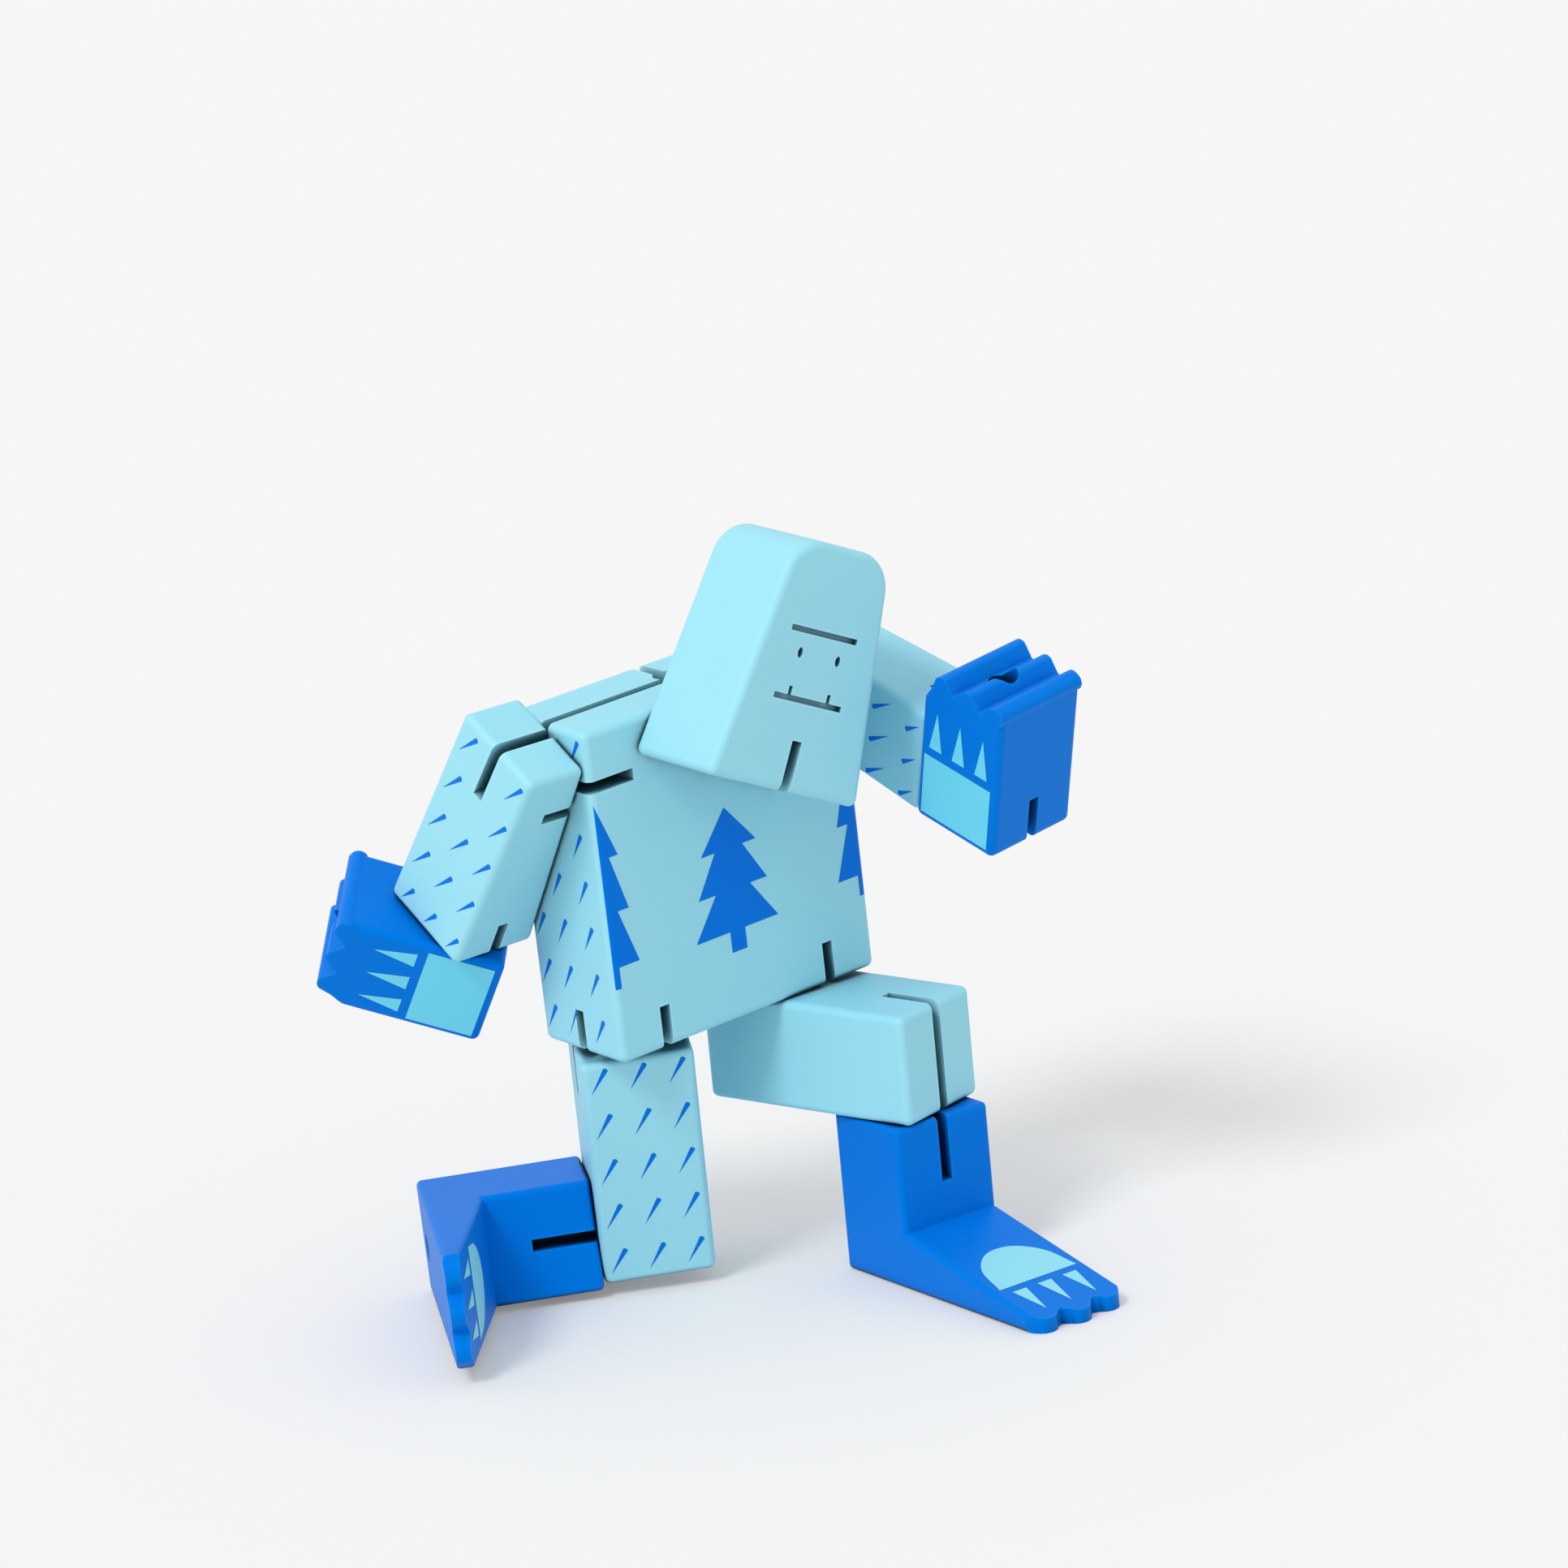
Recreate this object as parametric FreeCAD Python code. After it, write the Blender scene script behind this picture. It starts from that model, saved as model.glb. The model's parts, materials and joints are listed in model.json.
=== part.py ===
"""Posable figure of painted wooden blocks strung on elastic cord.

Ten blocks: head, torso, two arms, two hands, two thighs and two lower legs with feet. Every block is
drawn in its own frame (x across, -y to the front, z up the block) and then placed in the figure's frame.
The figure stands on its left foot with its right lower leg folded back along the floor. The chest looks
along -y, and the origin is the middle of the underside of the figure's bounding box.
"left" and "right" are the figure's own, so its left is +x. All sizes are millimetres.

Where a block meets its neighbour, the cord leaves the neighbour's face and enters the block. The first
stretch inside the block is a piece of its own, its link: the block turns about it and rocks over an edge.
"""
import FreeCAD, Part
import math
import os
from FreeCAD import Placement, Rotation, Vector

# --- wood, saw and drill -------------------------------------------------------------------------
EDGE_ROUND = 1.6        # every outer edge is rounded over
CORD = 2.2              # elastic cord
KERF = CORD + 0.4       # width of a saw kerf, which a cord slips into
BORE = 5.6              # bore that a cord runs in
ARM_BORE = 6.4          # bore of an arm
LEG_BORE = 6.6          # bore of a leg block
KNOT = 5.0              # knot at the end of a cord
KNOT_BORE = 6.2         # wider bore that a knot sits in
SEAT_GAP = 0.12         # clearance between two blocks that lie face to face
CORD_GAP = 0.3          # clearance between two lengths of cord that meet
LINK_LENGTH = 3.4       # first stretch of cord inside each block

# --- torso ---------------------------------------------------------------------------------------
TORSO_WIDTH = 68.6
TORSO_DEPTH = 26.2
TORSO_HEIGHT = 72.2
SHOULDER_DROP = 11.8    # shoulder bore below the torso's top
SHOULDER_KERF_LENGTH = 11.5
HIP_BORE_X = 20.5       # hip bores from the middle plane
HIP_BORE = 8.0          # wide, because the cord runs aslant at the hips
HIP_KERF_X = 22.0
HIP_KERF_DEPTH = 9.3
NECK_BORE_DEPTH = 30.0
NECK_BORE_SETBACK = CORD + 0.4  # neck bore behind the shoulder cord, which the neck cord hooks over
PEG_LENGTH = 8.0        # pegs that hold the two ends of the neck cord

# --- head ----------------------------------------------------------------------------------------
HEAD_WIDTH_BOTTOM = 41.2
HEAD_WIDTH_TOP = 26.0
HEAD_DEPTH = 25.0
HEAD_HEIGHT = 51.2
HEAD_CROWN_RADIUS = 8.5
NECK_PIVOT = 9.0        # neck cord above the head's underside
NECK_KERF_DEPTH = 10.6
HEAD_BORE_DEPTH = 27.0
FACE_CUT = 1.4          # how deep the face is sawn and drilled
FACE_LINE = 1.2         # width of a sawn line on the face
BROW_LENGTH, BROW_HEIGHT = 18.1, 33.0
EYE_SPREAD, EYE_HEIGHT = 10.4, 28.3
EYE_WIDTH, EYE_TALL = 1.3, 2.2
MOUTH_LENGTH, MOUTH_HEIGHT = 18.6, 18.9
TOOTH_SPREAD, TOOTH_LENGTH = 10.6, 2.4

# --- arms ----------------------------------------------------------------------------------------
ARM_LENGTH = 50.3
ARM_DEPTH = 23.3
ARM_WIDTH_TOP = 14.5
ARM_WIDTH_BOTTOM = 20.8
SHOULDER_PIVOT = 11.8   # cord below the arm's upper end
WRIST_KERF_DEPTH = 8.5

# --- hands ---------------------------------------------------------------------------------------
HAND_WIDTH = 22.5       # across the three fingers
HAND_DEPTH = 23.2
HAND_LENGTH = 35.6
WRIST_PIVOT = 8.9       # cord above the hand's wrist end
WRIST_SEAT = 11.0       # middle of the arm's end above the hand's wrist end
KNUCKLE_DROP = 2.4      # valleys between the knuckles
FINGER_PITCH = 7.6
HAND_SHOULDER_DROP = 7.5
HAND_KERF_DEPTH = 10.4
HAND_KNOT_DEPTH = 11.0

# --- legs ----------------------------------------------------------------------------------------
LEG_WIDTH = 24.4
THIGH_DEPTH = 24.0
THIGH_LENGTH = 52.9
KNEE_PIVOT = 9.0        # cord above a thigh's knee end
HIP_PIVOT = 11.4        # cord below a thigh's hip end when it is folded forward
LEG_KERF_DEPTH = 13.0
SHIN_DEPTH = 21.6
SHIN_HEIGHT = 35.3      # sole to knee
SHIN_KERF_DEPTH = 14.0
FOOT_LENGTH = 65.0
INSTEP_HEIGHT = 12.4    # top of the foot where the shin meets it
TOE_THICKNESS = 3.0
TOE_COUNT = 3
TOE_REACH = 4.6         # how far the toes stand out of the foot
SOLE_KNOT_DEPTH = 7.0

# --- how the figure is posed -----------------------------------------------------------------------
TORSO_BASE_Z = 59.4
TORSO_ROLL = -2.7       # about y: its left hip is the higher one
TORSO_LEAN = 1.8        # about x: it leans to the front
HEAD_TILT = 26.8        # the head hangs in front of the chest, turned on its cord
HEAD_SEAT_DROP = 8.5    # where the neck cord leaves the torso, below the torso's top
ARM_RIGHT_SWING = 31.6  # backwards
ARM_RIGHT_SEAT = (1.3, -0.8)    # back and up from the middle of the shoulder bore
ARM_RIGHT_SLIP = 2.3    # this arm has slipped back on its cord, along its front kerf
ARM_LEFT_SWING = 106.8  # over the top and down to the front, outer face inwards
ARM_LEFT_SEAT = (1.3, 0.2)
ARM_LEFT_SLIP = 0.0
HAND_RIGHT_TURN = 47.0
HAND_LEFT_TURN = -2.9
THIGH_RIGHT_TURN = 58.9
THIGH_RIGHT_LEAN = 7.5  # the thigh hangs from one edge of its upper end
THIGH_RIGHT_SEAT = (-19.0, 4.6)
HIP_RIGHT_EXIT = (-19.8, 2.7)   # where the leg cord leaves the torso
HIP_RIGHT_SLACK = 1.8   # lets the leaning thigh close against the torso
LOWER_LEG_RIGHT_TURN = -13.8
KNEE_LEFT_AT = (25.6, -31.3)    # middle of the standing shin on the floor
THIGH_LEFT_TURN = 13.1
LOWER_LEG_LEFT_TURN = -2.6


def box(low, high):
    """A box between two corners."""
    low, high = Vector(*low), Vector(*high)
    size = high - low
    return Part.makeBox(size.x, size.y, size.z, low)


def rod(start, end, diameter):
    """A round bar between two points."""
    start, end = Vector(*start), Vector(*end)
    return Part.makeCylinder(diameter / 2, (end - start).Length, start, end - start)


def prism(points, depth):
    """A closed outline in x and z, extruded along y and centred on y = 0."""
    corners = [Vector(x, -depth / 2, z) for x, z in points]
    face = Part.Face(Part.makePolygon(corners + corners[:1]))
    return face.extrude(Vector(0, depth, 0))


def cord(points, bend):
    """A cord along straight runs joined by arcs of radius `bend`."""
    corners = [Vector(*p) for p in points]
    edges = []
    start = corners[0]
    for before, here, after in zip(corners, corners[1:], corners[2:]):
        back = (before - here).normalize()
        ahead = (after - here).normalize()
        half = back.getAngle(ahead) / 2
        reach = bend / math.tan(half)
        middle = (back + ahead).normalize() * (bend / math.sin(half) - bend)
        first, last = here + back * reach, here + ahead * reach
        edges.append(Part.LineSegment(start, first).toShape())
        edges.append(Part.Arc(first, here + middle, last).toShape())
        start = last
    edges.append(Part.LineSegment(start, corners[-1]).toShape())
    route = Part.Wire(edges)
    ahead = corners[1] - corners[0]
    ring = Part.Wire([Part.makeCircle(CORD / 2, corners[0], ahead)])
    return route.makePipeShell([ring], True, False)


def torso_block():
    """Plain block with the kerfs that let the cords swing at the neck, shoulders and hips."""
    half, front, top = TORSO_WIDTH / 2, -TORSO_DEPTH / 2, TORSO_HEIGHT
    block = box((-half, front, 0), (half, -front, top))
    block = block.makeFillet(EDGE_ROUND, block.Edges)
    shoulder = top - SHOULDER_DROP
    cuts = [
        box((-half - 1, -KERF / 2, shoulder), (half + 1, KERF / 2, top + 1)),
        rod((-half - 1, 0, shoulder), (half + 1, 0, shoulder), BORE),
        box((-KERF / 2, front - 1, shoulder - KERF / 2), (KERF / 2, 1 - front, top + 1)),
        rod((0, NECK_BORE_SETBACK, top - NECK_BORE_DEPTH), (0, NECK_BORE_SETBACK, top), BORE),
    ]
    for side in (-1, 1):
        edge = side * (half + 1)
        inner = side * (half - SHOULDER_KERF_LENGTH)
        hip = side * HIP_BORE_X
        low, high = sorted((edge, inner))
        cuts.append(box((low, front - 1, shoulder - KERF / 2), (high, 0, shoulder + KERF / 2)))
        kerf = side * HIP_KERF_X
        cuts.append(rod((hip, 0, -1), (hip, 0, shoulder), HIP_BORE))
        cuts.append(box((kerf - KERF / 2, front - 1, -1), (kerf + KERF / 2, 0, HIP_KERF_DEPTH)))
        low, high = sorted((edge, hip))
        cuts.append(box((low, -KERF / 2, -1), (high, KERF / 2, HIP_KERF_DEPTH)))
    return block.cut(cuts)


def head_block():
    """Thick block, narrower at the top, with large round crown corners and a sawn face."""
    bottom, top = HEAD_WIDTH_BOTTOM / 2, HEAD_WIDTH_TOP / 2
    block = prism([(-bottom, 0), (bottom, 0), (top, HEAD_HEIGHT), (-top, HEAD_HEIGHT)], HEAD_DEPTH)
    crown = [e for e in block.Edges if e.BoundBox.ZMin > HEAD_HEIGHT - 0.01 and e.BoundBox.XLength < 0.01]
    block = block.makeFillet(HEAD_CROWN_RADIUS, crown)
    block = block.makeFillet(EDGE_ROUND, block.Edges)
    front = -HEAD_DEPTH / 2
    floor = front + FACE_CUT

    def line(x0, x1, z0, z1):
        return box((x0, front - 1, z0), (x1, floor, z1))

    thin = FACE_LINE / 2
    cuts = [
        box((-KERF / 2, front - 1, -1), (KERF / 2, 1 - front, NECK_KERF_DEPTH)),
        rod((0, 0, -1), (0, 0, HEAD_BORE_DEPTH), BORE),
        line(-BROW_LENGTH / 2, BROW_LENGTH / 2, BROW_HEIGHT - thin, BROW_HEIGHT + thin),
        line(-MOUTH_LENGTH / 2, MOUTH_LENGTH / 2, MOUTH_HEIGHT - thin, MOUTH_HEIGHT + thin),
    ]
    for side in (-1, 1):
        x = side * TOOTH_SPREAD / 2
        cuts.append(line(x - thin * 0.75, x + thin * 0.75, MOUTH_HEIGHT, MOUTH_HEIGHT + TOOTH_LENGTH))
        x = side * EYE_SPREAD / 2
        eye = Part.Ellipse(Vector(0, 0, 0), EYE_TALL / 2, EYE_WIDTH / 2).toShape()
        eye = Part.Face(Part.Wire([eye])).extrude(Vector(0, 0, FACE_CUT + 1))
        # long axis up the face, drilled in from the front
        turn = Rotation(Vector(0, 0, 1), Vector(1, 0, 0), Vector(0, 1, 0), "XYZ")
        eye.Placement = Placement(Vector(x, front - 1, EYE_HEIGHT), turn)
        cuts.append(eye)
    return block.cut(cuts)


def arm_taper():
    """How far each side of an arm leans away from its axis, in degrees."""
    return math.degrees(math.atan((ARM_WIDTH_BOTTOM - ARM_WIDTH_TOP) / 2 / ARM_LENGTH))


def arm_half_width(z):
    """Half an arm's width at height z, where its upper end is z = 0."""
    return (ARM_WIDTH_TOP - (ARM_WIDTH_BOTTOM - ARM_WIDTH_TOP) * z / ARM_LENGTH) / 2


def arm_block(inner):
    """Block that widens to the wrist. `inner` is +1 or -1, the side in x that faces the torso."""
    top, bottom = ARM_WIDTH_TOP / 2, ARM_WIDTH_BOTTOM / 2
    block = prism([(-top, 0), (top, 0), (bottom, -ARM_LENGTH), (-bottom, -ARM_LENGTH)], ARM_DEPTH)
    block = block.makeFillet(EDGE_ROUND, block.Edges)
    front = -ARM_DEPTH / 2
    wide = bottom + 1
    kerf_end = -SHOULDER_PIVOT - KERF / 2
    low, high = sorted((0, inner * wide))
    return block.cut([
        box((-wide, -KERF / 2, kerf_end), (wide, KERF / 2, 1)),
        box((low, front - 1, kerf_end), (high, 0, kerf_end + KERF)),
        box((-KERF / 2, front - 1, -ARM_LENGTH - 1), (KERF / 2, 1 - front, WRIST_KERF_DEPTH - ARM_LENGTH)),
        rod((0, 0, -SHOULDER_PIVOT), (0, 0, -ARM_LENGTH - 1), ARM_BORE),
    ])


def knuckle_outline():
    """Outline of a hand seen from the front: wrist end down, three knuckles on top."""
    half, top = HAND_WIDTH / 2, HAND_LENGTH
    valley = top - KNUCKLE_DROP
    crests = [half - 2.6 - FINGER_PITCH * n for n in range(3)]
    points = [Vector(-half, 0, 0), Vector(half, 0, 0), Vector(half, 0, top - 2.6)]
    edges = [Part.LineSegment(a, b).toShape() for a, b in zip(points, points[1:])]
    here = points[-1]
    for n, crest in enumerate(crests):
        outer = Vector(crest + 1.3, 0, top)
        inner = Vector(crest - 1.3, 0, top - 0.5)
        if n == 0:
            shoulder = Vector((here.x + outer.x) / 2 + 0.5, 0, (here.z + outer.z) / 2 + 0.5)
            edges.append(Part.Arc(here, shoulder, outer).toShape())
        else:
            edges.append(Part.LineSegment(here, outer).toShape())
        edges.append(Part.Arc(outer, Vector(crest, 0, top + 0.25), inner).toShape())
        here = inner
        if n < 2:
            low = Vector(crest - 3.1, 0, valley)
            rise = Vector(crest - 4.4, 0, valley + 0.25)
            edges.append(Part.LineSegment(here, low).toShape())
            edges.append(Part.Arc(low, Vector(crest - 3.8, 0, valley - 0.2), rise).toShape())
            here = rise
    slope = Vector(-half + 2.4, 0, top - 3.4)
    side = Vector(-half, 0, top - HAND_SHOULDER_DROP)
    edges.append(Part.LineSegment(here, slope).toShape())
    edges.append(Part.LineSegment(slope, side).toShape())
    edges.append(Part.LineSegment(side, points[0]).toShape())
    return Part.Wire(edges)


def hand_block():
    """Block with three knuckles. The kerf runs across it, so the arm can meet it from either side."""
    outline = knuckle_outline()
    outline.translate(Vector(0, -HAND_DEPTH / 2, 0))
    block = Part.Face(outline).extrude(Vector(0, HAND_DEPTH, 0))
    half = HAND_WIDTH / 2

    def rounded(edge):
        b = edge.BoundBox
        up_the_side = b.ZLength > 20 and abs(abs(b.XMin) - half) < 0.01
        at_the_wrist = b.ZMax < 0.01
        return up_the_side or at_the_wrist

    block = block.makeFillet(EDGE_ROUND, [e for e in block.Edges if rounded(e)])
    return block.cut([
        box((-half - 1, -KERF / 2, -1), (half + 1, KERF / 2, HAND_KERF_DEPTH)),
        rod((0, 0, -1), (0, 0, HAND_LENGTH + 1), BORE),
        rod((0, 0, HAND_LENGTH - HAND_KNOT_DEPTH), (0, 0, HAND_LENGTH + 1), KNOT_BORE),
    ])


def thigh_block():
    """Square block with a kerf from front to back at each end, bored from its hip end."""
    half, front = LEG_WIDTH / 2, -THIGH_DEPTH / 2
    block = box((-half, front, 0), (half, -front, THIGH_LENGTH))
    block = block.makeFillet(EDGE_ROUND, block.Edges)
    return block.cut([
        box((-KERF / 2, front - 1, -1), (KERF / 2, 1 - front, LEG_KERF_DEPTH)),
        box((-KERF / 2, front - 1, THIGH_LENGTH - LEG_KERF_DEPTH), (KERF / 2, 1 - front, THIGH_LENGTH + 1)),
        rod((0, 0, KNEE_PIVOT), (0, 0, THIGH_LENGTH + 1), LEG_BORE),
    ])


def toe_outline(reach):
    """Plan of the foot, seen from above, with rounded toes `reach` long at its front end."""
    half = LEG_WIDTH / 2
    tip = SHIN_DEPTH / 2 - FOOT_LENGTH
    pitch = LEG_WIDTH / TOE_COUNT
    back = SHIN_DEPTH / 2 + 1
    root = tip + reach
    edges = []
    points = [Vector(-half, root, 0), Vector(-half, back, 0), Vector(half, back, 0), Vector(half, root, 0)]
    for a, b in zip(points, points[1:]):
        edges.append(Part.LineSegment(a, b).toShape())
    here = points[-1]
    notch = root - 1.6
    for n in range(TOE_COUNT):
        end_x = half - pitch * (n + 1)
        middle = half - pitch * (n + 0.5)
        end = Vector(end_x, root if n == TOE_COUNT - 1 else notch, 0)
        # the middle toe stands out furthest
        reach_here = tip if n == 1 else tip + 0.9
        left, right = Vector(middle + 2.6, reach_here + 1.5, 0), Vector(middle - 2.6, reach_here + 1.5, 0)
        edges.append(Part.LineSegment(here, left).toShape())
        edges.append(Part.Arc(left, Vector(middle, reach_here, 0), right).toShape())
        edges.append(Part.LineSegment(right, end).toShape())
        here = end
    return Part.Wire(edges)


def lower_leg_block():
    """Shin and foot in one block: an L whose foot thins to the toes."""
    half, back = LEG_WIDTH / 2, SHIN_DEPTH / 2
    tip = back - FOOT_LENGTH
    profile = [
        (back, 0), (back, SHIN_HEIGHT), (-back, SHIN_HEIGHT), (-back, INSTEP_HEIGHT),
        (tip, TOE_THICKNESS), (tip, 0),
    ]
    corners = [Vector(-half, y, z) for y, z in profile]
    face = Part.Face(Part.makePolygon(corners + corners[:1]))
    block = face.extrude(Vector(LEG_WIDTH, 0, 0))

    def rounded(edge):
        b = edge.BoundBox
        at_instep = abs(b.YMin + back) < 0.01 and b.ZMax < INSTEP_HEIGHT + 0.01 and b.XLength > 1
        at_tip = b.YMax < tip + 0.01
        return not (at_instep or at_tip)

    block = block.makeFillet(EDGE_ROUND * 0.75, [e for e in block.Edges if rounded(e)])
    plan = Part.Face(toe_outline(TOE_REACH)).extrude(Vector(0, 0, SHIN_HEIGHT + 1))
    block = block.common(plan)
    return block.cut([
        box((-KERF / 2, -back - 1, SHIN_HEIGHT - SHIN_KERF_DEPTH), (KERF / 2, back + 1, SHIN_HEIGHT + 1)),
        rod((0, 0, -1), (0, 0, SHIN_HEIGHT + 1), BORE),
        rod((0, 0, -1), (0, 0, SOLE_KNOT_DEPTH), KNOT_BORE),
    ])


def knot(at):
    """A cord's end knot."""
    return Part.makeSphere(KNOT / 2, Vector(*at))


# --- placements ------------------------------------------------------------------------------------
def turned(at, rotation, seat=(0, 0, 0)):
    """Placement that turns a block and puts its local point `seat` at `at`."""
    return Placement(Vector(*at) - rotation.multVec(Vector(*seat)), rotation)


def hand_rotation(side, turn):
    """A hand lies with one side against the arm's end, turned on its cord. `side` is that side in x."""
    up, across, back = Vector(0, 0, side), Vector(side, 0, 0), Vector(0, 1, 0)
    return Rotation(turn, 0, 0) * Rotation(up, across, back, "XYZ")


def shoulder_seat(x, seat):
    """Where an arm's cord leaves the torso's side."""
    back, up = seat
    return (x, back, TORSO_HEIGHT - SHOULDER_DROP + up)


def placements():
    """Where each block stands, by name, with the torso's underside centred above (0, 0)."""
    torso = Placement(Vector(0, 0, TORSO_BASE_Z), Rotation(0, TORSO_ROLL, TORSO_LEAN))
    side, front = TORSO_WIDTH / 2 + SEAT_GAP, -TORSO_DEPTH / 2 - SEAT_GAP
    shoulder_x = arm_half_width(-SHOULDER_PIVOT)
    taper = arm_taper()
    place = {"torso": torso}
    place["head"] = torso * turned(
        (0, front, TORSO_HEIGHT - HEAD_SEAT_DROP), Rotation(0, HEAD_TILT, 0), (0, HEAD_DEPTH / 2, NECK_PIVOT)
    )
    swing = Rotation(0, 0, ARM_RIGHT_SWING) * Rotation(0, taper, 0)
    seat = (shoulder_x, -ARM_RIGHT_SLIP, -SHOULDER_PIVOT)
    place["arm_right"] = torso * turned(shoulder_seat(-side, ARM_RIGHT_SEAT), swing, seat)
    swing = Rotation(0, 0, ARM_LEFT_SWING) * Rotation(0, 180 + taper, 0)
    seat = (shoulder_x, -ARM_LEFT_SLIP, -SHOULDER_PIVOT)
    place["arm_left"] = torso * turned(shoulder_seat(side, ARM_LEFT_SEAT), swing, seat)
    wrist = (0, 0, -ARM_LENGTH - SEAT_GAP)
    for name, x, turn in (("right", 1, HAND_RIGHT_TURN), ("left", -1, HAND_LEFT_TURN)):
        seat = (x * HAND_WIDTH / 2, 0, WRIST_SEAT)
        place[f"hand_{name}"] = place[f"arm_{name}"] * turned(wrist, hand_rotation(x, turn), seat)
    # the standing leg, from the floor up
    place["lower_leg_left"] = Placement(Vector(*KNEE_LEFT_AT, 0), Rotation(LOWER_LEG_LEFT_TURN, 0, 0))
    knee = (*KNEE_LEFT_AT, SHIN_HEIGHT + SEAT_GAP)
    seat = (0, THIGH_DEPTH / 2, KNEE_PIVOT)
    place["thigh_left"] = turned(knee, Rotation(THIGH_LEFT_TURN, 0, -90), seat)
    # the folded leg, from the hip down: one edge of the thigh's upper end touches the torso
    lean = math.radians(THIGH_RIGHT_LEAN)
    lift = (LEG_WIDTH / 2 - EDGE_ROUND) * math.sin(lean) + EDGE_ROUND * (1 - math.cos(lean))
    place["thigh_right"] = torso * turned(
        (*THIGH_RIGHT_SEAT, -SEAT_GAP - lift),
        Rotation(THIGH_RIGHT_TURN, 0, 0) * Rotation(0, -THIGH_RIGHT_LEAN, 0),
        (0, 0, THIGH_LENGTH),
    )
    place["lower_leg_right"] = place["thigh_right"] * turned(
        (0, THIGH_DEPTH / 2 + SEAT_GAP, KNEE_PIVOT),
        Rotation(-90, 90, 0) * Rotation(LOWER_LEG_RIGHT_TURN, 0, 0),
        (0, 0, SHIN_HEIGHT),
    )
    return place


def point_in(place, block, other, point):
    """A point of one block's frame, given in another block's frame."""
    return place[other].inverse().multVec(place[block].multVec(Vector(*point)))


def strand(points, bend, slack):
    """A cord that enters a block, as two solids with `slack` between them: its link and the rest."""
    first, second = Vector(*points[0]), Vector(*points[1])
    along = (second - first).normalize()
    link = rod(first + along * CORD_GAP, first + along * LINK_LENGTH, CORD)
    start = first + along * (LINK_LENGTH + slack)
    return link, cord([start] + points[1:], bend)


def block_cords(place):
    """Route of the cord inside each block but the torso, from the contact inwards, with its bend."""
    pivot = arm_half_width(-SHOULDER_PIVOT)
    knot_foot = HAND_LENGTH - HAND_KNOT_DEPTH
    knee = (0, THIGH_DEPTH / 2, KNEE_PIVOT)
    hip = tuple(point_in(place, "torso", "thigh_right", (*HIP_RIGHT_EXIT, 0)))
    sole = (0, 0, 1 + KNOT)
    peg_foot = (0, 0, HEAD_BORE_DEPTH - PEG_LENGTH)
    routes = {
        "head": ([(0, HEAD_DEPTH / 2, NECK_PIVOT), (0, 0, NECK_PIVOT), peg_foot], 3.0),
        "thigh_right": ([hip, (0, 0, THIGH_LENGTH - 9), (0, 0, KNEE_PIVOT), knee], 3.6),
        "thigh_left": (
            [(0, -THIGH_DEPTH / 2, THIGH_LENGTH - HIP_PIVOT), (0, 0, THIGH_LENGTH - HIP_PIVOT),
             (0, 0, KNEE_PIVOT), knee], 3.6,
        ),
    }
    for side, slip, facing in (("right", ARM_RIGHT_SLIP, 1), ("left", ARM_LEFT_SLIP, -1)):
        wrist = point_in(place, f"hand_{side}", f"arm_{side}", (facing * HAND_WIDTH / 2, 0, WRIST_PIVOT))
        routes[f"arm_{side}"] = (
            [(pivot, -slip, -SHOULDER_PIVOT), (0, 0, -SHOULDER_PIVOT), (0, 0, 9 - ARM_LENGTH),
             (wrist.x, wrist.y, -ARM_LENGTH)], 2.6,
        )
        routes[f"hand_{side}"] = (
            [(facing * HAND_WIDTH / 2, 0, WRIST_PIVOT), (0, 0, WRIST_PIVOT), (0, 0, knot_foot)], 3.0,
        )
        routes[f"lower_leg_{side}"] = ([(0, 0, SHIN_HEIGHT), sole], 0)
    return routes


def torso_cords(place):
    """The three cords inside the torso."""
    shoulder = TORSO_HEIGHT - SHOULDER_DROP
    half = TORSO_WIDTH / 2
    over, under = shoulder + CORD * 0.55, shoulder - CORD * 0.55
    inner = half - SHOULDER_KERF_LENGTH
    arm_cord = cord([
        shoulder_seat(-half, ARM_RIGHT_SEAT), (-inner, 0, over), (inner, 0, over),
        shoulder_seat(half, ARM_LEFT_SEAT),
    ], 8.0)
    right = Vector(*HIP_RIGHT_EXIT, 0)
    left = point_in(place, "thigh_left", "torso", (0, -THIGH_DEPTH / 2, THIGH_LENGTH - HIP_PIVOT))
    leg_cord = cord([
        tuple(right), (-HIP_BORE_X, 0, under), (HIP_BORE_X, 0, under), (left.x, left.y, 0),
    ], 4.5)
    peg_top = TORSO_HEIGHT - NECK_BORE_DEPTH + PEG_LENGTH
    back, seat = NECK_BORE_SETBACK, TORSO_HEIGHT - HEAD_SEAT_DROP
    neck_cord = cord([
        (0, -TORSO_DEPTH / 2, seat), (0, back, seat + 0.6), (0, back, peg_top),
    ], 2.3)
    return arm_cord, leg_cord, neck_cord


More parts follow.
